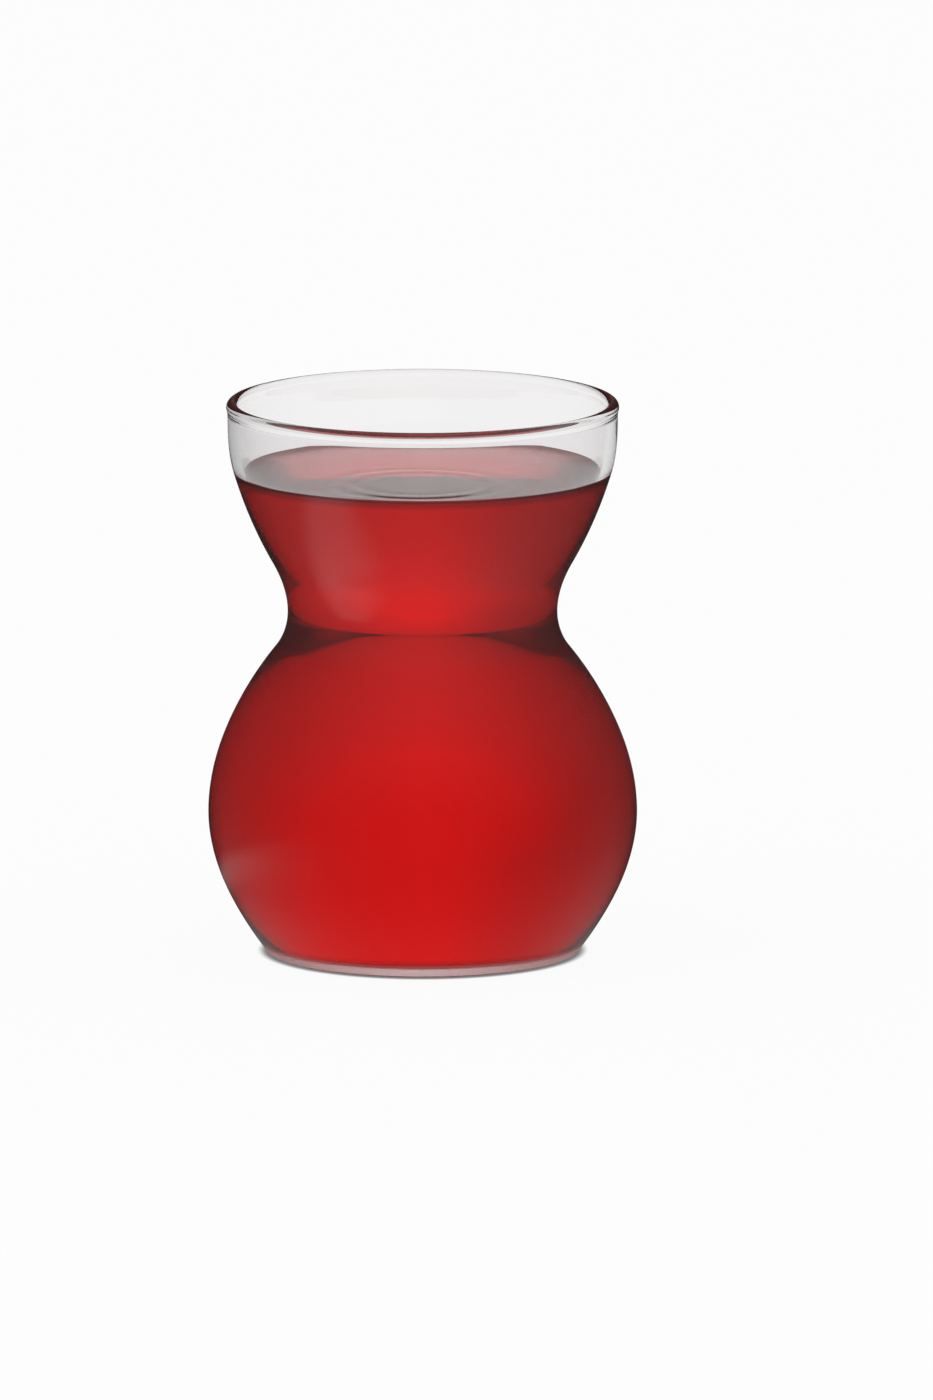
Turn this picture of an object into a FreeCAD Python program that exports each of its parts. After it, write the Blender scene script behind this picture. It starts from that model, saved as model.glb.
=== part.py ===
"""A waisted tea glass, filled with tea.

The glass is one blown piece: a flat foot, a round belly, a narrow waist, a flared mouth and a
fire-polished bead round the rim. The tea fills it from the floor to its level below the rim.
Both are bodies of revolution about Z. The origin is the centre of the foot, on the table.
"""
import FreeCAD
import Part
import os
from math import cos, hypot, radians, sin, sqrt

os.makedirs("parts", exist_ok=True)

# Overall sizes, in millimetres. A radius is that of the outer face.
glass_height = 80.0
foot_radius = 22.6
belly_height = 20.3
belly_radius = 30.8
waist_height = 49.4
waist_radius = 19.35
rim_radius = 28.0           # under the bead

# Rings between those, which set how full each curve is.
heel_height = 8.0
heel_radius = 27.5
shoulder_rise = 11.8        # above the belly
shoulder_radius = 28.3
neck_drop = 5.4             # below the waist
neck_radius = 21.2
flare_rise = 7.4            # above the waist
flare_radius = 21.6
lip_drop = 10.4             # below the top of the rim
lip_radius = 27.1

# How far the wall leans outwards from the vertical at each ring, in degrees, going up.
# It stands upright at the belly, the waist and the rim.
foot_lean = 37.0
heel_lean = 27.5
shoulder_lean = -22.5
neck_lean = -39.0
flare_lean = 30.0
lip_lean = 17.0

# The glass itself.
wall = 1.4
floor_thickness = 1.8
floor_corner = 2.5          # round where the floor meets the wall, inside
foot_edge = 0.8             # round at the outer edge of the foot
bead_radius = 0.9
bead_blend = 3.5            # hollow round where the bead grows out of the wall

# The tea.
fill_gap = 9.9              # from the top of the rim down to the tea

tea_level = glass_height - fill_gap

# The bead is a ring centred in the wall. A hollow arc on each face joins it to the wall, and
# meets both of them smoothly: the two circles touch, so their centres lie the sum of their
# radii apart.
bead_height = glass_height - bead_radius
bead_ring_radius = rim_radius - wall / 2
blend_out = wall / 2 + bead_blend
blend_down = sqrt((bead_radius + bead_blend) ** 2 - blend_out ** 2)
wall_top = bead_height - blend_down

# Each ring of the outer face: its height, its radius and its lean.
OUTER_RINGS = [
    (foot_edge * (1 - sin(radians(foot_lean))), foot_radius, foot_lean),
    (heel_height, heel_radius, heel_lean),
    (belly_height, belly_radius, 0.0),
    (belly_height + shoulder_rise, shoulder_radius, shoulder_lean),
    (waist_height - neck_drop, neck_radius, neck_lean),
    (waist_height, waist_radius, 0.0),
    (waist_height + flare_rise, flare_radius, flare_lean),
    (glass_height - lip_drop, lip_radius, lip_lean),
    (wall_top, rim_radius, 0.0),
]


def spot(radius, height):
    """The point of the outline at this radius and height."""
    return FreeCAD.Vector(radius, 0, height)


def way_up(ring):
    """The direction that the wall takes at a ring, going up."""
    return spot(sin(radians(ring[2])), cos(radians(ring[2])))


def inset_ring(ring, depth):
    """The ring moved into the glass by depth, square to the wall."""
    height, radius, lean = ring
    return (height + depth * sin(radians(lean)), radius - depth * cos(radians(lean)), lean)


def wall_curves(rings):
    """Cubic curves from ring to ring, each leaving and arriving at its rings' leans."""
    curves = []
    for lower, upper in zip(rings[:-1], rings[1:]):
        start = spot(lower[1], lower[0])
        end = spot(upper[1], upper[0])
        reach = (end - start).Length / 3
        curve = Part.BezierCurve()
        curve.setPoles([start, start + way_up(lower) * reach, end - way_up(upper) * reach, end])
        curves.append(curve.toShape())
    return curves


def arc(centre, radius, first, last):
    """The arc about centre that runs the short way between two directions from it."""
    ends = [FreeCAD.Vector(way).normalize() for way in (first, last)]
    middle = (ends[0] + ends[1]).normalize()
    points = [centre + way * radius for way in (ends[0], middle, ends[1])]
    return Part.Arc(*points).toShape()


def turned(edges):
    """The solid that a closed outline in the XZ plane sweeps about Z."""
    face = Part.Face(Part.Wire(edges))
    return face.revolve(FreeCAD.Vector(0, 0, 0), FreeCAD.Vector(0, 0, 1), 360)


def rim_arcs():
    """Up the outer hollow arc, over the bead and down the inner hollow arc to the wall."""
    bead = spot(bead_ring_radius, bead_height)
    outer_hollow = spot(bead_ring_radius + blend_out, wall_top)
    inner_hollow = spot(bead_ring_radius - blend_out, wall_top)
    up = spot(0, 1)
    outwards = spot(1, 0)
    return [
        arc(outer_hollow, bead_blend, -outwards, bead - outer_hollow),
        arc(bead, bead_radius, outer_hollow - bead, up),
        arc(bead, bead_radius, up, inner_hollow - bead),
        arc(inner_hollow, bead_blend, bead - inner_hollow, outwards),
    ]


def outside():
    """The glass as if solid, up to the top of its wall, with the bead standing on it."""
    foot_flat = foot_radius - foot_edge * cos(radians(foot_lean))
    foot_round = arc(spot(foot_flat, foot_edge), foot_edge, spot(0, -1),
                     spot(foot_radius - foot_flat, OUTER_RINGS[0][0] - foot_edge))
    outline = [Part.makeLine(spot(0, 0), spot(foot_flat, 0)), foot_round]
    outline += wall_curves(OUTER_RINGS) + rim_arcs()
    outline.append(Part.makeLine(spot(rim_radius - wall, wall_top), spot(0, wall_top)))
    outline.append(Part.makeLine(spot(0, wall_top), spot(0, 0)))
    return turned(outline)


def inside():
    """The hollow of the glass up to the top of its wall, with a rounded floor corner."""
    rings = [inset_ring(ring, wall) for ring in OUTER_RINGS]
    low = rings[0]
    outline = [Part.makeLine(spot(0, low[0]), spot(low[1], low[0]))] + wall_curves(rings)
    outline.append(Part.makeLine(spot(rim_radius - wall, wall_top), spot(0, wall_top)))
    outline.append(Part.makeLine(spot(0, wall_top), spot(0, low[0])))
    hollow = turned(outline).cut(layer_below(floor_thickness))
    corner = [edge for edge in hollow.Edges
              if hypot(edge.BoundBox.ZMin - floor_thickness,
                       edge.BoundBox.ZMax - floor_thickness) < 0.001]
    return hollow.makeFillet(floor_corner, corner)


def layer_below(height):
    """A round block wider and deeper than the glass, with its top at this height."""
    reach = 2 * max(glass_height, belly_radius, rim_radius)
    return Part.makeCylinder(reach, reach, spot(0, height - reach))


hollow = inside()
nodes = {
    "glass": outside().cut(hollow),
    "tea": hollow.common(layer_below(tea_level)),
}
for node, shape in nodes.items():
    piece = shape.Solids[0]
    print(node, "solids", len(shape.Solids), "valid", piece.isValid(),
          "volume %.0f mm3" % piece.Volume, piece.BoundBox)
    piece.exportStep("parts/%s.step" % node)
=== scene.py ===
# %% [markdown]
# # A waisted tea glass, filled with tea
#
# The object is two things: a clear glass, blown in one piece, and the tea in it. Both are round
# about the upright axis, so each is one outline turned about Z. What makes the glass look like
# glass is its thickness, so nothing here is a thin skin. The glass has an outer face, an inner
# face and a bead at the rim, and the tea is a closed body of liquid that reaches a little way
# into the wall, as wet glass has no air between the liquid and the wall.
#
# The construction model is loaded first. It fixes where everything is, in metres, with the centre
# of the foot at the origin.

import math

import bpy
import numpy as np
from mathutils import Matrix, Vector


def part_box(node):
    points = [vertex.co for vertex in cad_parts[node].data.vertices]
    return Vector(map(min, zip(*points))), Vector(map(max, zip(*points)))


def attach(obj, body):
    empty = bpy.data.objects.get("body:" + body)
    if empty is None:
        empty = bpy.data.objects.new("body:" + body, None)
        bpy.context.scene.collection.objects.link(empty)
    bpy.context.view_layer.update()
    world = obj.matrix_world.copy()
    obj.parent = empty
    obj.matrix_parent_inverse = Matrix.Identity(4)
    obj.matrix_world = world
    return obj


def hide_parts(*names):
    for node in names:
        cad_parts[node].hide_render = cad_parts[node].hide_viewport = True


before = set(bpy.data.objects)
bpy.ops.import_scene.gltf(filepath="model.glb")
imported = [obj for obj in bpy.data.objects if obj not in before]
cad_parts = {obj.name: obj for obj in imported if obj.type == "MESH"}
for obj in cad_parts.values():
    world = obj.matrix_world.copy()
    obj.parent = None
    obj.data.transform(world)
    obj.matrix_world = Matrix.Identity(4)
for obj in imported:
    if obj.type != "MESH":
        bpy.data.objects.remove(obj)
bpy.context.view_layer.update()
MM = 0.001

# %% [markdown]
# ## The outline of the glass
#
# A blown glass has no straight line in it: belly, waist and mouth run into each other. Such an
# outline could be drawn by hand as a long row of points, but then no size in it could be
# changed. Here it is a few rings instead. Each ring says how high the wall is there, how wide,
# and how far it leans outwards. A cubic curve joins each ring to the next and keeps both leans,
# so the whole outline is smooth.

# %% The rings of the outer face
FOOT_EDGE = 0.8 * MM
WALL = 1.4 * MM
FLOOR = 1.8 * MM
FLOOR_CORNER = 2.5 * MM
BEAD = 0.9 * MM
BEAD_BLEND = 3.5 * MM

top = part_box("glass")[1][2]
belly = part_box("glass")[1][0]
rim = 28.0 * MM
waist_height = 49.4 * MM
belly_height = 20.3 * MM
foot_lean = math.radians(37.0)

bead_height = top - BEAD
bead_ring = rim - WALL / 2
blend_out = WALL / 2 + BEAD_BLEND
wall_top = bead_height - math.sqrt((BEAD + BEAD_BLEND) ** 2 - blend_out ** 2)

# Height, radius and lean (in radians) of each ring, from the foot up.
RINGS = np.array([
    (FOOT_EDGE * (1 - math.sin(foot_lean)), 22.6 * MM, foot_lean),
    (8.0 * MM, 27.5 * MM, math.radians(27.5)),
    (belly_height, belly, 0.0),
    (belly_height + 11.8 * MM, 28.3 * MM, math.radians(-22.5)),
    (waist_height - 5.4 * MM, 21.2 * MM, math.radians(-39.0)),
    (waist_height, 19.35 * MM, 0.0),
    (waist_height + 7.4 * MM, 21.6 * MM, math.radians(30.0)),
    (top - 10.4 * MM, 27.1 * MM, math.radians(17.0)),
    (wall_top, rim, 0.0),
])
print(len(RINGS), "rings, wall top at", round(wall_top / MM, 3), "mm")

# %% [markdown]
# The helpers below give runs of outline points as arrays with two columns: radius and height.

# %% Outline helpers
def inset(rings, depth):
    """Each ring moved square to the wall into the glass by depth: with lean a, the radius loses
    depth times cos a and the height gains depth times sin a."""
    height, radius, lean = rings.T
    return np.column_stack([height + depth * np.sin(lean), radius - depth * np.cos(lean), lean])


def wall_run(rings, per_piece=18):
    """Points up the wall. Between two rings it is a cubic Bezier whose handles are a third of the
    chord long and lie along the rings' leans: (1-t)^3 A + 3(1-t)^2 t B + 3(1-t) t^2 C + t^3 D."""
    low, high = rings[:-1], rings[1:]
    start, end = low[:, [1, 0]], high[:, [1, 0]]
    reach = np.linalg.norm(end - start, axis=1, keepdims=True) / 3
    leave = start + reach * np.column_stack([np.sin(low[:, 2]), np.cos(low[:, 2])])
    arrive = end - reach * np.column_stack([np.sin(high[:, 2]), np.cos(high[:, 2])])
    t = np.linspace(0, 1, per_piece, endpoint=False)[None, :, None]
    curve = ((1 - t) ** 3 * start[:, None] + 3 * (1 - t) ** 2 * t * leave[:, None]
             + 3 * (1 - t) * t ** 2 * arrive[:, None] + t ** 3 * end[:, None])
    return np.vstack([curve.reshape(-1, 2), end[-1:]])


def arc_run(centre, radius, first, last, count):
    """Points on a circle about centre, from the angle first to last (radians, 0 is outwards and a
    quarter turn is up)."""
    angle = np.linspace(first, last, count)
    return np.column_stack([centre[0] + radius * np.cos(angle), centre[1] + radius * np.sin(angle)])


def joined(*runs):
    """The runs end to end, with points that repeat the one before left out."""
    points = np.vstack(runs)
    step = np.linalg.norm(np.diff(points, axis=0), axis=1)
    return points[np.concatenate([[True], step > 1e-7])]


def inner_run(depth, floor, corner):
    """The inner face from the middle of the floor up to the top of the wall: the floor, a round of
    radius corner, and the wall at depth from the outer face. The round's centre is where the wall,
    moved inwards by corner once more, is corner above the floor."""
    up = wall_run(inset(RINGS, depth))
    lean = np.arctan2(np.gradient(up[:, 0]), np.gradient(up[:, 1]))
    moved = np.column_stack([up[:, 0] - corner * np.cos(lean), up[:, 1] + corner * np.sin(lean)])
    low = moved[:, 1] < belly_height
    centre_radius = np.interp(floor + corner, moved[low, 1], moved[low, 0])
    meets = np.interp(floor + corner, moved[low, 1], lean[low])
    meet_height = floor + corner * (1 - math.sin(meets))
    flat = np.column_stack([np.linspace(0, centre_radius, 24), np.full(24, floor)])
    turn = arc_run((centre_radius, floor + corner), corner, -math.pi / 2, -meets, 12)
    return joined(flat, turn, up[up[:, 1] > meet_height + 1e-5])


print("inner face:", len(inner_run(WALL, FLOOR, FLOOR_CORNER)), "points")

# %% [markdown]
# ## Turning an outline into a body
#
# A spin of the outline would do, but it leaves doubled points at the seam and at the poles. A grid
# worked out as arrays closes both by its numbering: the last column joins the first, and the
# outline's two ends on the axis become one point each.
#
# Real blown glass isn't perfectly round either. Each face wanders by a few hundredths of a
# millimetre, the inner face more than the outer. It can't be seen as shape, but it bends
# what is seen through the glass, as a slight unevenness of the edges and reflections.

# %% Bodies of revolution
AROUND = 240


def wander(around, height, waves, depth):
    """How far a face stands out, as a sum of slow waves: each has its own number of lobes round
    the axis, its own wave length up the axis and its own phase."""
    out = np.zeros_like(around)
    for lobes, per_height, phase, share in waves:
        out += share * np.sin(lobes * around + 2 * math.pi * per_height * height / top + phase)
    return depth * out


OUTER_WAVES = [(2, 0.6, 0.4, 0.5), (3, -1.1, 2.1, 0.3), (5, 1.7, 4.0, 0.2)]
INNER_WAVES = [(2, 0.9, 3.4, 0.4), (3, 1.4, 0.7, 0.3), (4, -2.3, 5.2, 0.2), (7, 2.9, 1.9, 0.1)]


def turned_body(name, outline, faces_of, depth_of):
    """A closed mesh: the outline turned about Z. Point (i, j) is outline point i turned by
    2 pi j / AROUND, moved outwards by its face's wander, which fades out towards the axis.
    faces_of says which points belong to the inner face, depth_of how far they wander."""
    radius, height = outline[1:-1, 0:1], outline[1:-1, 1:2]
    turn = 2 * math.pi * np.arange(AROUND)[None, :] / AROUND
    around, high = np.broadcast_arrays(turn, height)
    inner = faces_of[1:-1, None]
    stray = np.where(inner, wander(around, high, INNER_WAVES, depth_of),
                     wander(around, high, OUTER_WAVES, depth_of / 2))
    fade = np.clip(radius / (10 * MM), 0, 1) ** 2 * np.clip(height / (6 * MM), 0, 1)
    wide = radius + stray * fade
    grid = np.stack([wide * np.cos(turn), wide * np.sin(turn), high], axis=-1)
    points = np.vstack([grid.reshape(-1, 3), [[0, 0, outline[0, 1]], [0, 0, outline[-1, 1]]]])

    rows = len(outline) - 2
    row = np.arange(rows - 1)[:, None] * AROUND
    here = np.arange(AROUND)[None, :]
    after = (here + 1) % AROUND
    quads = np.stack([row + here, row + after, row + AROUND + after, row + AROUND + here], axis=-1)
    first_pole, last_pole = rows * AROUND, rows * AROUND + 1
    here, after = here[0], after[0]
    last_row = (rows - 1) * AROUND
    fan_low = np.column_stack([np.full(AROUND, first_pole), after, here])
    fan_high = np.column_stack([np.full(AROUND, last_pole), last_row + here, last_row + after])
    faces = quads.reshape(-1, 4).tolist() + fan_low.tolist() + fan_high.tolist()

    mesh = bpy.data.meshes.new(name)
    mesh.from_pydata(points, [], faces)
    mesh.polygons.foreach_set("use_smooth", np.ones(len(faces), dtype=bool))
    mesh.update()
    piece = bpy.data.objects.new(name, mesh)
    bpy.context.scene.collection.objects.link(piece)
    return piece


def store_mask(piece, name, along):
    """Store a mask on every vertex. It is given along the outline and is the same all round."""
    values = np.concatenate([np.repeat(along[1:-1], AROUND), [along[0], along[-1]]])
    layer = piece.data.attributes.new(name, "FLOAT", "POINT")
    layer.data.foreach_set("value", values.astype(np.float32))


def report(piece):
    """Print a piece's size and whether its faces point outwards, by its signed volume."""
    mesh = piece.data
    points = np.empty(len(mesh.vertices) * 3)
    mesh.vertices.foreach_get("co", points)
    points = points.reshape(-1, 3)
    mesh.calc_loop_triangles()
    corners = np.empty(len(mesh.loop_triangles) * 3, dtype=np.int32)
    mesh.loop_triangles.foreach_get("vertices", corners)
    a, b, c = points[corners.reshape(-1, 3)].transpose(1, 0, 2)
    volume = np.einsum("ij,ij->i", a, np.cross(b, c)).sum() / 6
    print(piece.name, len(corners) // 3, "triangles,", round(volume * 1e6, 2), "ml, from",
          points.min(axis=0).round(5), "to", points.max(axis=0).round(5))


print(AROUND, "columns round the axis")

# %% [markdown]
# ## The glass
#
# Its outline starts under the middle of the foot, goes round the foot's edge and up the outer
# face, over the bead, down the inner face and ends in the middle of the floor inside.
# The bead is where the cut rim was melted in a flame and drew itself round. It is thicker than the
# wall, and a small hollow arc on each side joins it.

# %% Outline and body of the glass
foot_flat = RINGS[0, 1] - FOOT_EDGE * math.cos(foot_lean)
hollow_turn = math.acos(blend_out / (BEAD + BEAD_BLEND))

foot_run = joined(
    np.column_stack([np.linspace(0, foot_flat, 24), np.zeros(24)]),
    arc_run((foot_flat, FOOT_EDGE), FOOT_EDGE, -math.pi / 2, -foot_lean, 9))
rim_run = joined(
    arc_run((bead_ring + blend_out, wall_top), BEAD_BLEND, math.pi, math.pi - hollow_turn, 8),
    arc_run((bead_ring, bead_height), BEAD, -hollow_turn, math.pi + hollow_turn, 36),
    arc_run((bead_ring - blend_out, wall_top), BEAD_BLEND, hollow_turn, 0, 8))
outer_part = joined(foot_run, wall_run(RINGS), rim_run[:26])
inner_part = joined(rim_run[26:], inner_run(WALL, FLOOR, FLOOR_CORNER)[::-1])
glass_outline = np.vstack([outer_part, inner_part])
is_inner = np.arange(len(glass_outline)) >= len(outer_part)

STRAY = 0.05 * MM
glass = turned_body("tea_glass", glass_outline, is_inner, STRAY)
report(glass)

# %% [markdown]
# ## The tea
#
# The tea follows the inner face, but reaches a tenth of a millimetre into the wall. Its surface isn't
# flat up to the wall: water climbs a clean glass, and the last millimetres curve up to a thin edge.
# That curved edge, the meniscus, draws the dark line round the top of the tea.

# %% Outline and body of the tea
BITE = 0.12 * MM
RISE = 0.8 * MM
CLIMB = 1.2 * MM

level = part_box("tea")[1][2]
side = inner_run(WALL - BITE, FLOOR - BITE, FLOOR_CORNER + BITE)
cup = side[side[:, 1] > waist_height]
contact_radius = np.interp(level, cup[:, 1], cup[:, 0])
side = side[side[:, 1] < level - 0.05 * MM]
from_wall = np.concatenate([np.linspace(0, 1, 40) ** 2 * 6 * CLIMB,
                            np.linspace(6 * CLIMB, contact_radius, 60)[1:]])
surface = np.column_stack([contact_radius - from_wall,
                           level - RISE * (1 - np.exp(-from_wall / CLIMB))])
tea_outline = np.vstack([side, surface])
tea = turned_body("tea_fill", tea_outline, np.ones(len(tea_outline), dtype=bool), STRAY)

# %% [markdown]
# A glass that was just set down has a few faint rings on its surface. They are far too low to be
# seen as shape, but a surface seen at a slant mirrors the far wall, and the rings bend that.

# %% Rings on the tea
def ring_ripple(piece, centre, radius, width, depth):
    """Waves in rings about centre on the top of the tea. At a distance d from centre the surface
    moves up by depth exp(-((d - radius) / width)^2) cos(2 pi (d - radius) / width)."""
    mesh = piece.data
    points = np.empty(len(mesh.vertices) * 3)
    mesh.vertices.foreach_get("co", points)
    points = points.reshape(-1, 3)
    off_wall = np.hypot(points[:, 0], points[:, 1]) < contact_radius - 4 * CLIMB
    on_top = off_wall & (points[:, 2] > level - 1.05 * RISE)
    off_ring = (np.hypot(points[:, 0] - centre[0], points[:, 1] - centre[1]) - radius) / width
    points[:, 2] += on_top * depth * np.exp(-off_ring ** 2) * np.cos(2 * math.pi * off_ring)
    mesh.vertices.foreach_set("co", points.ravel())
    mesh.update()


ring_ripple(tea, centre=(-0.5 * MM, -8.0 * MM), radius=10.5 * MM, width=4.0 * MM, depth=0.03 * MM)
report(tea)

# %% [markdown]
# ## Masks
#
# A material can't know by itself which part of a face it is on. Masks stored on the mesh tell it,
# and they are worked out from the outline, so they follow its sizes.
#
# On the glass, one mask is 1 round the edge of the foot, which slides over tables and saucers and is
# a little matt for it. The same mask places a faint painted glow there. "shine" is how much of its
# reflection a face keeps. It is 0 where tea lies behind it, and low on the belly, where a plain room
# would otherwise show as a grey veil.

# %% Masks of the glass
WORN_AND_GLOW_LOW = 0.2 * MM
WORN_AND_GLOW_HIGH = 1.7 * MM
LEAST_SHINE = 0.1
DULL_UP_TO = 24 * MM
SHINY_FROM = 46 * MM

radius, height = glass_outline.T
rising = (height - DULL_UP_TO) / (SHINY_FROM - DULL_UP_TO)
shine = np.clip(LEAST_SHINE + (1 - LEAST_SHINE) * rising, LEAST_SHINE, 1)
store_mask(glass, "shine", np.where(is_inner, height > level, shine))
# Mask of the foot edge: real wear that makes it a little rough, and the place of its painted glow.
worn_and_glow = np.clip((WORN_AND_GLOW_HIGH - height) / (0.4 * MM), 0, 1) * (height > WORN_AND_GLOW_LOW)
worn_and_glow = worn_and_glow * np.clip((radius - foot_flat + 1.0 * MM) / (0.5 * MM), 0, 1)
store_mask(glass, "worn_and_glow", np.where(is_inner, 0, worn_and_glow))
print("masks stored on", glass.name)

# %% [markdown]
# On the tea, "wet" is 1 on its side and floor, where it touches glass, and 0 on its top. "brink" is
# 1 on the last millimetre under the edge of the surface, which is darkened there by painted shade,
# in place of the light that the meniscus throws away. "strength" is less than 1 low on the belly,
# where the painted side shade is weaker, as the white table throws light in from all round.
#
# "square" serves the painted side shade of the tea. It tells how squarely the side is met, at its
# middle, by someone who looks slightly down. The wall leans by a, so such a look meets it at a plus
# 10 degrees, and glass divides the sine of that by 1.5. The mask is the cosine of the angle left.
# It fades to 1 up the mouth, where the painted shade does get darker with the lean.

# %% Masks of the tea
LOOK_DOWN = math.radians(10)
GLASS_IOR = 1.5
LEAN_UP_TO = 66.5 * MM
LEAN_FADE = 12 * MM
BRINK = 1.3 * MM

radius, height = tea_outline.T
under_surface = np.arange(len(tea_outline)) < len(side)
on_wall = under_surface & (height > FLOOR + 1 * MM)
lean = np.arctan2(np.gradient(radius), np.gradient(height))
left = np.arcsin(np.sin(lean + LOOK_DOWN) / GLASS_IOR)
low_part = np.clip((LEAN_UP_TO - height) / LEAN_FADE, 0, 1)
store_mask(tea, "wet", under_surface)
store_mask(tea, "square", 1 - np.where(on_wall, low_part * (1 - np.cos(left)), 0))
# These two masks steer painted shade: how strong the side shade is, and the dark band under the
# meniscus.
store_mask(tea, "strength", np.clip(0.28 + height / (25 * MM), 0, 1))
store_mask(tea, "brink", np.where(on_wall, np.clip((height - level + BRINK) / (0.5 * MM), 0, 1), 0))
print("masks stored on", tea.name)

# %% [markdown]
# ## Small helpers for materials
#
# A material is a tree of nodes. These helpers keep each tree short to read: one starts an empty
# material, one does sums, one chooses between two values, and one reads a mask from the mesh.

# %% Material helpers
def new_material(name):
    """An empty node material, with its node tree and its output node."""
    material = bpy.data.materials.new(name)
    material.use_nodes = True
    tree = material.node_tree
    tree.nodes.clear()
    return material, tree, tree.nodes.new("ShaderNodeOutputMaterial")


def feed(tree, value, socket):
    """Link a socket to a socket, or write a number or colour into it."""
    if isinstance(value, bpy.types.NodeSocket):
        tree.links.new(value, socket)
    else:
        socket.default_value = value


def maths(tree, operation, first, second=0.0):
    """One sum of two values."""
    node = tree.nodes.new("ShaderNodeMath")
    node.operation = operation
    feed(tree, first, node.inputs[0])
    feed(tree, second, node.inputs[1])
    return node.outputs[0]


def between(tree, share, low, high):
    """low where share is 0, high where it is 1, and evenly between them."""
    node = tree.nodes.new("ShaderNodeMix")
    node.data_type = "FLOAT"
    feed(tree, share, node.inputs[0])
    feed(tree, low, node.inputs[2])
    feed(tree, high, node.inputs[3])
    return node.outputs[0]


def colour_between(tree, share, low, high):
    """The same for colours."""
    node = tree.nodes.new("ShaderNodeMix")
    node.data_type = "RGBA"
    feed(tree, share, node.inputs["Factor"])
    feed(tree, low, node.inputs[6])
    feed(tree, high, node.inputs[7])
    return node.outputs[2]


def smooth_step(tree, value, first, last, low=0.0, high=1.0):
    """low up to first, high from last on, and an S-shaped change between them."""
    node = tree.nodes.new("ShaderNodeMapRange")
    node.interpolation_type = "SMOOTHSTEP"
    feed(tree, value, node.inputs["Value"])
    node.inputs["From Min"].default_value = first
    node.inputs["From Max"].default_value = last
    node.inputs["To Min"].default_value = low
    node.inputs["To Max"].default_value = high
    return node.outputs[0]


def mask(tree, name):
    """A mask that was stored on the mesh."""
    node = tree.nodes.new("ShaderNodeAttribute")
    node.attribute_name = name
    return node.outputs["Fac"]


def facing(tree):
    """0 where the surface faces the eye, 1 where it is seen edge-on."""
    node = tree.nodes.new("ShaderNodeLayerWeight")
    node.inputs["Blend"].default_value = 0.5
    return node.outputs["Facing"]


print("helpers ready")

# %% [markdown]
# ## Fine unevenness
#
# Glass that was blown and tea that was poured are both very smooth, but not perfectly. Blown glass
# has faint streaks, and poured tea has a little cloud in it. Both are a slow noise in space that is
# drawn out in one direction, so one node group serves both. It gives a height for a bump and a
# mask for colour. It reads Object coordinates, so that the pattern stays on the piece.

# %% The group of fine unevenness
streaks = bpy.data.node_groups.new("fine_unevenness", "ShaderNodeTree")
for socket_name, start in (("Per metre", 60.0), ("Drawn out", 3.0), ("Roughening", 2.0)):
    socket = streaks.interface.new_socket(socket_name, in_out="INPUT", socket_type="NodeSocketFloat")
    socket.default_value = start
for socket_name in ("Height", "Cloud"):
    streaks.interface.new_socket(socket_name, in_out="OUTPUT", socket_type="NodeSocketFloat")

given = streaks.nodes.new("NodeGroupInput")
made = streaks.nodes.new("NodeGroupOutput")
place = streaks.nodes.new("ShaderNodeTexCoord")
stretch = streaks.nodes.new("ShaderNodeVectorMath")
stretch.operation = "MULTIPLY"
shape = streaks.nodes.new("ShaderNodeCombineXYZ")
shape.inputs["X"].default_value = 1.0
shape.inputs["Y"].default_value = 1.0
noise = streaks.nodes.new("ShaderNodeTexNoise")
streaks.links.new(maths(streaks, "DIVIDE", 1.0, given.outputs["Drawn out"]), shape.inputs["Z"])
streaks.links.new(place.outputs["Object"], stretch.inputs[0])
streaks.links.new(shape.outputs[0], stretch.inputs[1])
streaks.links.new(stretch.outputs[0], noise.inputs["Vector"])
streaks.links.new(given.outputs["Per metre"], noise.inputs["Scale"])
streaks.links.new(given.outputs["Roughening"], noise.inputs["Detail"])
streaks.links.new(noise.outputs["Fac"], made.inputs["Height"])
streaks.links.new(smooth_step(streaks, noise.outputs["Fac"], 0.35, 0.65), made.inputs["Cloud"])


def uneven(tree, per_metre, drawn_out, detail):
    """The group placed in a material, with its own values."""
    node = tree.nodes.new("ShaderNodeGroup")
    node.node_tree = streaks
    node.inputs["Per metre"].default_value = per_metre
    node.inputs["Drawn out"].default_value = drawn_out
    node.inputs["Roughening"].default_value = detail
    return node


def bump(tree, height, depth):
    """A normal from a height: depth is how far the surface would move, in metres."""
    node = tree.nodes.new("ShaderNodeBump")
    node.inputs["Distance"].default_value = depth
    feed(tree, height, node.inputs["Height"])
    return node.outputs["Normal"]


print("group inputs", [item.name for item in streaks.interface.items_tree])

# %% [markdown]
# ## The glass material
#
# Clear glass is a Principled shader with full transmission and an IOR of 1.5. Its base colour is
# the tint that light takes on at each face, so the default grey would darken it, and it is set
# close to white.
#
# Where the glass touches the tea there are two faces on top of each other, and each would reflect
# as if air lay beyond it. Really almost nothing reflects there, so the "shine" mask takes the
# specular tint to black on the wet part. Light still bends there, and the two bends together are
# right.
#
# The matt edge of the foot is a little rough. It also has a faint painted glow, a pink emission that
# stands in for the light that runs down inside the wall and scatters there.
#
# Light reaches the floor through real glass. A path tracer can't find that way well, so for
# shadow rays the glass is plainly transparent.

# %% Glass material
CLEAR = (0.91, 0.90, 0.90, 1.0)
STREAK_DEPTH = 0.004 * MM
WORN_ROUGH = 0.55
FOOT_PAINTED_GLOW = 0.14
FOOT_PAINTED_GLOW_COLOUR = (1.0, 0.55, 0.55, 1.0)
BLACK = (0.0, 0.0, 0.0, 1.0)

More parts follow.
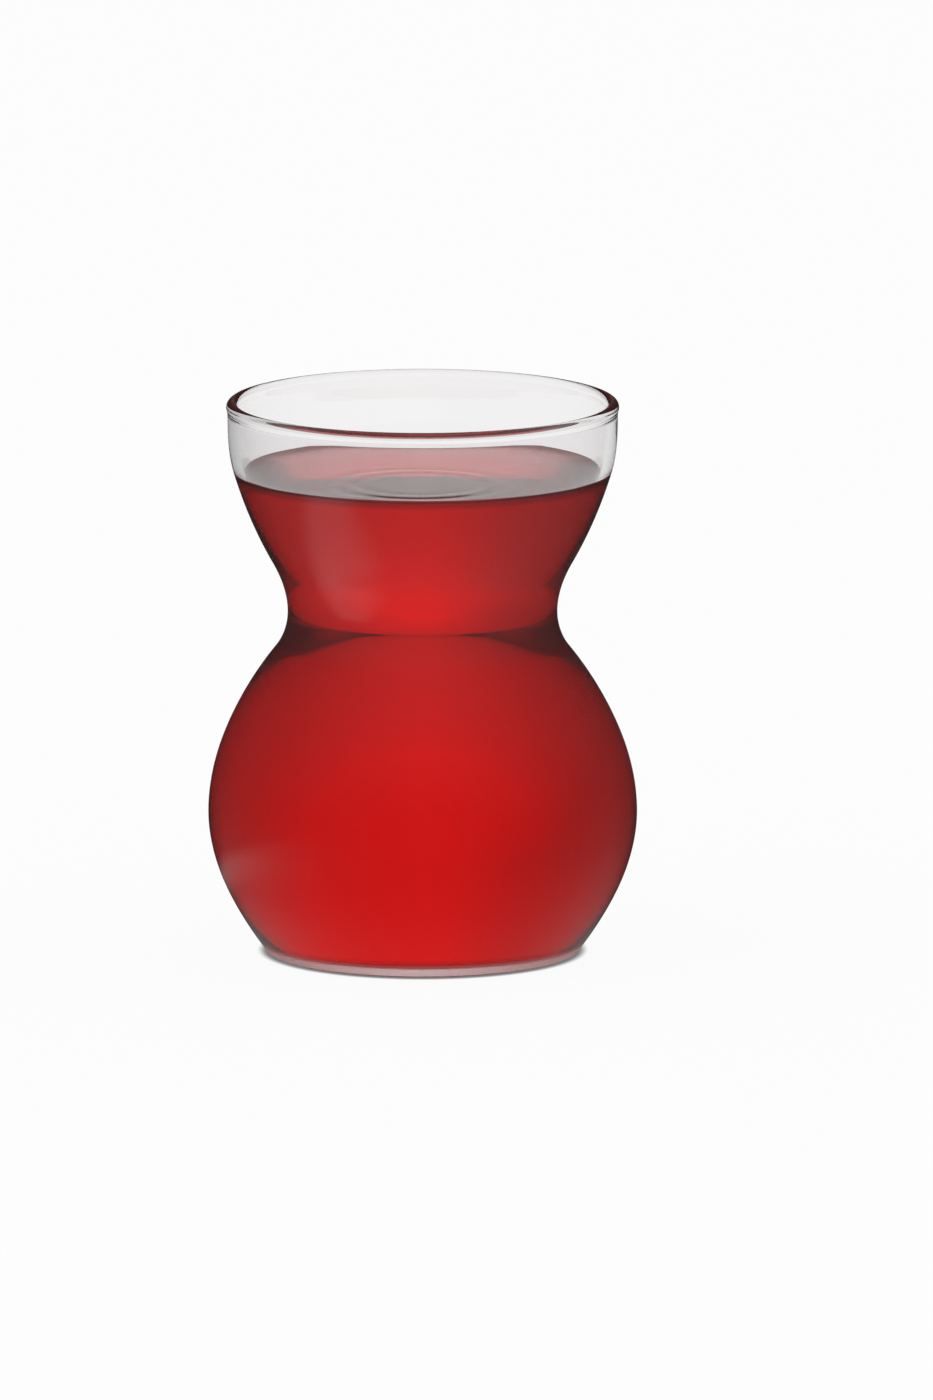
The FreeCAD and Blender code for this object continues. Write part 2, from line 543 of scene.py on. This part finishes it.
clear, tree, output = new_material("clear_glass")
body = tree.nodes.new("ShaderNodeBsdfPrincipled")
body.inputs["IOR"].default_value = GLASS_IOR
body.inputs["Base Color"].default_value = CLEAR
body.inputs["Transmission Weight"].default_value = 1.0
# Painted glow: the foot edge emits a faint pink light, though it is no lamp.
body.inputs["Emission Strength"].default_value = FOOT_PAINTED_GLOW
rough = maths(tree, "MULTIPLY", mask(tree, "worn_and_glow"), WORN_ROUGH)
glow = colour_between(tree, mask(tree, "worn_and_glow"), BLACK, FOOT_PAINTED_GLOW_COLOUR)
streaky = uneven(tree, per_metre=45.0, drawn_out=0.35, detail=1.5)
feed(tree, rough, body.inputs["Roughness"])
feed(tree, glow, body.inputs["Emission Color"])
feed(tree, mask(tree, "shine"), body.inputs["Specular Tint"])
feed(tree, bump(tree, streaky.outputs["Height"], STREAK_DEPTH), body.inputs["Normal"])

path = tree.nodes.new("ShaderNodeLightPath")
through = tree.nodes.new("ShaderNodeBsdfTransparent")
mix = tree.nodes.new("ShaderNodeMixShader")
tree.links.new(path.outputs["Is Shadow Ray"], mix.inputs[0])
tree.links.new(body.outputs[0], mix.inputs[1])
tree.links.new(through.outputs[0], mix.inputs[2])
tree.links.new(mix.outputs[0], output.inputs["Surface"])
glass.data.materials.append(clear)
print("glass", clear.name, "streaks", round(STREAK_DEPTH / MM, 4), "mm deep")

# %% [markdown]
# ## The tea material
#
# Strong black tea swallows green and blue in a centimetre and lets red through, so its colour
# depends on how far light goes in it. That is what volume absorption does: over a distance s
# each colour is left with exp(-density (1 - colour) s).
#
# Towards its sides the tea is darkened by painted shade in its base colour. It stands in for the
# light there, which comes from beside the glass, where the room isn't bright. A Layer Weight on the
# side face gives that painted fall-off, for every direction one looks from: the face keeps
# exp(-slant^power strength), where slant is 0 square on and 1 edge-on. The "square" mask takes out
# the part of the slant that comes from the wall's own lean, because light from above and below is
# as bright as from the front.
#
# This has a price. The painted shade depends on where the eye is, and the "square" mask on how far
# it looks down, so the dark sides move along in other views, and an export that bakes colours can't
# keep them. A tea that is the same for every eye has SLANT_STRENGTH 0, and flatter, brighter sides.
#
# The side also has a very faint painted glow, an emission that stands in for the little light that
# the finest tea dust scatters. The top has a faint painted glow too, and its tint is painted shade:
# it passes on only a little of the light that comes up through it, and mostly shows what it reflects.

# %% Tea material
RED_KEPT = 0.9735
REST_KEPT = 0.04
SOAK = 240.0
TEA_IOR = 1.333
SLANT_STRENGTH = 2.9
SLANT_POWER = 0.7
BRINK_SHADE_KEPT = 0.22
CLOUD_KEPT = 0.96
# The top's tint is painted shade: it darkens what passes up through the top.
TOP_PAINTED_SHADE = (0.30, 0.12, 0.12, 1.0)
# Painted glow of the tea, though it is no lamp.
TEA_PAINTED_GLOW = 0.025
TOP_PAINTED_GLOW = (0.9, 0.2, 0.2, 1.0)
SIDE_PAINTED_GLOW = (1.0, 0.30, 0.30, 1.0)

red, tree, output = new_material("red_tea")
body = tree.nodes.new("ShaderNodeBsdfPrincipled")
body.inputs["IOR"].default_value = TEA_IOR
body.inputs["Roughness"].default_value = 0.0
body.inputs["Transmission Weight"].default_value = 1.0
# Painted glow: the tea emits a very faint red light.
body.inputs["Emission Strength"].default_value = TEA_PAINTED_GLOW
feed(tree, maths(tree, "SUBTRACT", 1.0, mask(tree, "wet")), body.inputs["Specular Tint"])

# Painted side shade: a Layer Weight darkens the base colour towards the sides.
squarely = maths(tree, "DIVIDE", maths(tree, "SUBTRACT", 1.0, facing(tree)), mask(tree, "square"))
turned_away = maths(tree, "MAXIMUM", maths(tree, "SUBTRACT", 1.0, squarely), 0.0)
slant = maths(tree, "MULTIPLY", maths(tree, "POWER", turned_away, SLANT_POWER), mask(tree, "strength"))
kept = maths(tree, "POWER", math.exp(-SLANT_STRENGTH), slant)
# Painted shade: under the meniscus the colour keeps only a small share.
kept = maths(tree, "MULTIPLY", kept, between(tree, mask(tree, "brink"), 1.0, BRINK_SHADE_KEPT))
cloud = uneven(tree, per_metre=55.0, drawn_out=1.6, detail=2.0)
kept = maths(tree, "MULTIPLY", kept, between(tree, cloud.outputs["Cloud"], CLOUD_KEPT, 1.0))
side_shade_and_cloud = tree.nodes.new("ShaderNodeCombineColor")
for socket in side_shade_and_cloud.inputs[:3]:
    feed(tree, kept, socket)
shade_and_cloud_tint = colour_between(tree, mask(tree, "wet"), TOP_PAINTED_SHADE, side_shade_and_cloud.outputs[0])
glow = colour_between(tree, mask(tree, "wet"), TOP_PAINTED_GLOW, SIDE_PAINTED_GLOW)
feed(tree, shade_and_cloud_tint, body.inputs["Base Color"])
feed(tree, glow, body.inputs["Emission Color"])

soak = tree.nodes.new("ShaderNodeVolumeAbsorption")
soak.inputs["Color"].default_value = (RED_KEPT, REST_KEPT, REST_KEPT, 1.0)
soak.inputs["Density"].default_value = SOAK
tree.links.new(body.outputs[0], output.inputs["Surface"])
tree.links.new(soak.outputs[0], output.inputs["Volume"])
tea.data.materials.append(red)
print("over 50 mm red keeps", round(math.exp(-SOAK * (1 - RED_KEPT) * 0.05), 3))

# %% [markdown]
# Both pieces belong to the part's only body. Each takes the place of its node of the construction.

# %% Hand the pieces to the frame
for piece, node, slot in ((glass, "glass", "clear_glass"), (tea, "tea", "red_tea")):
    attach(piece, "root")
    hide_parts(node)
print("pieces", glass.name, tea.name)

# %% [markdown]
# ## The studio
#
# A glass has hardly any look of its own: it shows the studio through it and in it. A plain white
# studio would turn up as white reflections all over the tea. So the surroundings are given a
# brightness for each way of seeing them. The eye and what is seen through the glass get white.
# Reflections get a dim room, as with black cards round the glass. So the white background is not
# in the reflections, as it would be in a plain white room. To get it there, both room levels
# below are set to 1.

# %% Brightness by the way of seeing
def ray_level(tree, seen, seen_through, reflected, other):
    """One value for what the camera sees, one for what is seen through the glass, one for what is
    reflected and one for everything else, such as light on the floor."""
    path = tree.nodes.new("ShaderNodeLightPath")
    level = between(tree, path.outputs["Is Glossy Ray"], other, reflected)
    level = between(tree, path.outputs["Is Transmission Ray"], level, seen_through)
    return between(tree, path.outputs["Is Camera Ray"], level, seen)


ROOM_FRONT = 0.34
ROOM_BACK = 0.02
LEFT_KEPT = 0.74


def room_level(tree, forward):
    """How bright a reflected direction is: the dim room in front of the glass, where the camera
    stands, and the black cards behind it. forward is 1 straight towards the front, -1 back."""
    return smooth_step(tree, forward, -0.9, 0.75, ROOM_BACK, ROOM_FRONT)


def side_level(tree, sideways):
    """How bright the backdrop is in what is seen through the glass: a little less on its left.
    sideways is 1 straight to the right and -1 to the left. The tea turns the view round, so
    the right of the belly shows it."""
    return smooth_step(tree, sideways, -0.34, 0.0, LEFT_KEPT, 1.0)


print("room in front", ROOM_FRONT, "and behind", ROOM_BACK)

# %% [markdown]
# The floor is pale and matt, and mostly glows by itself for the camera, so that it runs into
# the background without a horizon. The rest of it is lit, and keeps a faint shadow. Under the foot
# and just round it a painted shadow darkens the floor's glow, for the camera and seen through the
# glass, standing in for the shade where no light gets in.
#
# To the left of the glass a strip of the floor glows brighter in reflections only: a painted
# reflection in place of a white card lying there. It puts a painted highlight, the soft upright
# stripe, on the flared part of the glass, which faces downwards and so mirrors the floor. The strip
# runs away from the glass at an angle, and all its edges are soft.

# %% Floor
REACH = 6.0
FLOOR_SHARE = 0.94
FLOOR_DROP = 0.05 * MM
STRIP_HIGHLIGHT_LEVEL = 0.75
STRIP_TURN = math.radians(37)
FOOT_SHADOW_LEVEL = 0.2
FOOT_SHADE = 22.4 * MM
FOOT_SHADE_END = 24.0 * MM

corners = [(-REACH, -REACH), (REACH, -REACH), (REACH, REACH), (-REACH, REACH)]
floor_mesh = bpy.data.meshes.new("floor")
floor_mesh.from_pydata([(x, y, -FLOOR_DROP) for x, y in corners], [], [(0, 1, 2, 3)])
floor = bpy.data.objects.new("floor", floor_mesh)
bpy.context.scene.collection.objects.link(floor)

white, tree, output = new_material("floor_white")
matte = tree.nodes.new("ShaderNodeBsdfDiffuse")
matte.inputs["Color"].default_value = (0.9, 0.9, 0.9, 1)
place = tree.nodes.new("ShaderNodeTexCoord").outputs["Object"]
length = tree.nodes.new("ShaderNodeVectorMath")
length.operation = "LENGTH"
tree.links.new(place, length.inputs[0])
split = tree.nodes.new("ShaderNodeSeparateXYZ")
tree.links.new(place, split.inputs[0])
distance = length.outputs["Value"]
x, y = split.outputs["X"], split.outputs["Y"]
forward = maths(tree, "DIVIDE", maths(tree, "MULTIPLY", y, -1.0), distance)
sideways = maths(tree, "DIVIDE", x, distance)

# Painted highlight: a strip of floor that glows brighter in reflections only.
# Across the strip is x sin(turn) - y cos(turn).
across = maths(tree, "SUBTRACT", maths(tree, "MULTIPLY", x, math.sin(STRIP_TURN)),
               maths(tree, "MULTIPLY", y, math.cos(STRIP_TURN)))
highlight_strip = smooth_step(tree, across, -66 * MM, -24 * MM)
for fade in (smooth_step(tree, across, -4 * MM, 34 * MM, 1.0, 0.0),
             smooth_step(tree, x, -40 * MM, -20 * MM, 1.0, 0.0),
             smooth_step(tree, distance, 38 * MM, 62 * MM),
             smooth_step(tree, distance, 115 * MM, 155 * MM, 1.0, 0.0)):
    highlight_strip = maths(tree, "MULTIPLY", highlight_strip, fade)
mirrored = between(tree, highlight_strip, room_level(tree, forward), STRIP_HIGHLIGHT_LEVEL)

# Painted shadow on the floor under and just round the foot.
foot_shadow = smooth_step(tree, distance, FOOT_SHADE, FOOT_SHADE_END, FOOT_SHADOW_LEVEL, 1.0)
seen_through = maths(tree, "MULTIPLY", foot_shadow, side_level(tree, sideways))
glow = tree.nodes.new("ShaderNodeEmission")
feed(tree, ray_level(tree, foot_shadow, seen_through, mirrored, 0.0), glow.inputs["Strength"])
blend = tree.nodes.new("ShaderNodeMixShader")
feed(tree, ray_level(tree, FLOOR_SHARE, 1.0, 1.0, 0.0), blend.inputs[0])
tree.links.new(matte.outputs[0], blend.inputs[1])
tree.links.new(glow.outputs[0], blend.inputs[2])
tree.links.new(blend.outputs[0], output.inputs["Surface"])
floor.data.materials.append(white)
print("floor", 2 * REACH, "m across")

# %% [markdown]
# The world is the backdrop and the room in one. What is seen through the glass gets darker towards
# the ceiling, because a studio's white backdrop ends somewhere above the table.

# %% World
CEILING = 0.75
FILL = 0.7

world = bpy.data.worlds.new("studio")
bpy.context.scene.world = world
world.use_nodes = True
tree = world.node_tree
back = tree.nodes["Background"]
way = tree.nodes.new("ShaderNodeTexCoord")
split = tree.nodes.new("ShaderNodeSeparateXYZ")
tree.links.new(way.outputs["Generated"], split.inputs[0])
ceiling = smooth_step(tree, split.outputs["Z"], 0.4, 0.9, 1.0, CEILING)
back.inputs["Color"].default_value = (1, 1, 1, 1)
around = room_level(tree, maths(tree, "MULTIPLY", split.outputs["Y"], -1.0))
through_level = maths(tree, "MULTIPLY", ceiling, side_level(tree, split.outputs["X"]))
feed(tree, ray_level(tree, 1.0, through_level, around, FILL), back.inputs["Strength"])
print("world ready, light on the floor", FILL)

# %% [markdown]
# One large soft lamp stands on the left. It only lights the floor and casts the soft shadow: in
# reflections it would be a hard bright rectangle on the belly, so it is hidden there.

# %% Lamp
def soft_lamp(name, place, target, width, height, radiance):
    """A rectangular lamp at place that faces target. Its power is the radiance times pi times
    its area."""
    data = bpy.data.lights.new(name, "AREA")
    data.shape = "RECTANGLE"
    data.size = width
    data.size_y = height
    data.energy = radiance * math.pi * width * height
    lamp = bpy.data.objects.new(name, data)
    bpy.context.scene.collection.objects.link(lamp)
    lamp.location = place
    lamp.rotation_euler = (Vector(target) - Vector(place)).to_track_quat("-Z", "Y").to_euler()
    lamp.visible_camera = False
    lamp.visible_transmission = False
    lamp.visible_glossy = False
    print(name, round(data.energy, 2), "W")


soft_lamp("left_box", place=(-0.9, -0.5, 0.9), target=(0, 0, top / 2), width=0.5, height=0.8,
          radiance=1.6)

# %% [markdown]
# ## Camera
#
# The camera stands far away with a long lens: both ellipses of the glass, at the rim and at the
# foot, are then almost equally open. It looks down by 10 degrees. The lens follows from how much
# height it takes in at the glass. Light crosses many faces of glass and tea on its way, so it is
# followed further than usual.

# %% Camera
ELEVATION = math.radians(10.2)
DISTANCE = 4.8
FIELD = 201.1 * MM
SIDE = 6.3 * MM
LOOK_HEIGHT = 36.4 * MM

camera_data = bpy.data.cameras.new("camera")
camera_data.sensor_fit = "AUTO"
camera_data.sensor_width = 36.0
camera_data.lens = camera_data.sensor_width * DISTANCE / FIELD
camera_data.clip_end = 50
camera = bpy.data.objects.new("camera", camera_data)
bpy.context.scene.collection.objects.link(camera)
camera.location = (SIDE, -math.cos(ELEVATION) * DISTANCE,
                   LOOK_HEIGHT + math.sin(ELEVATION) * DISTANCE)
camera.rotation_euler = (math.pi / 2 - ELEVATION, 0, 0)
bpy.context.scene.camera = camera
bpy.context.scene.view_settings.view_transform = "Standard"
bpy.context.scene.cycles.max_bounces = 32
bpy.context.scene.cycles.transmission_bounces = 32
bpy.context.scene.cycles.glossy_bounces = 16
print("lens", round(camera_data.lens), "mm")
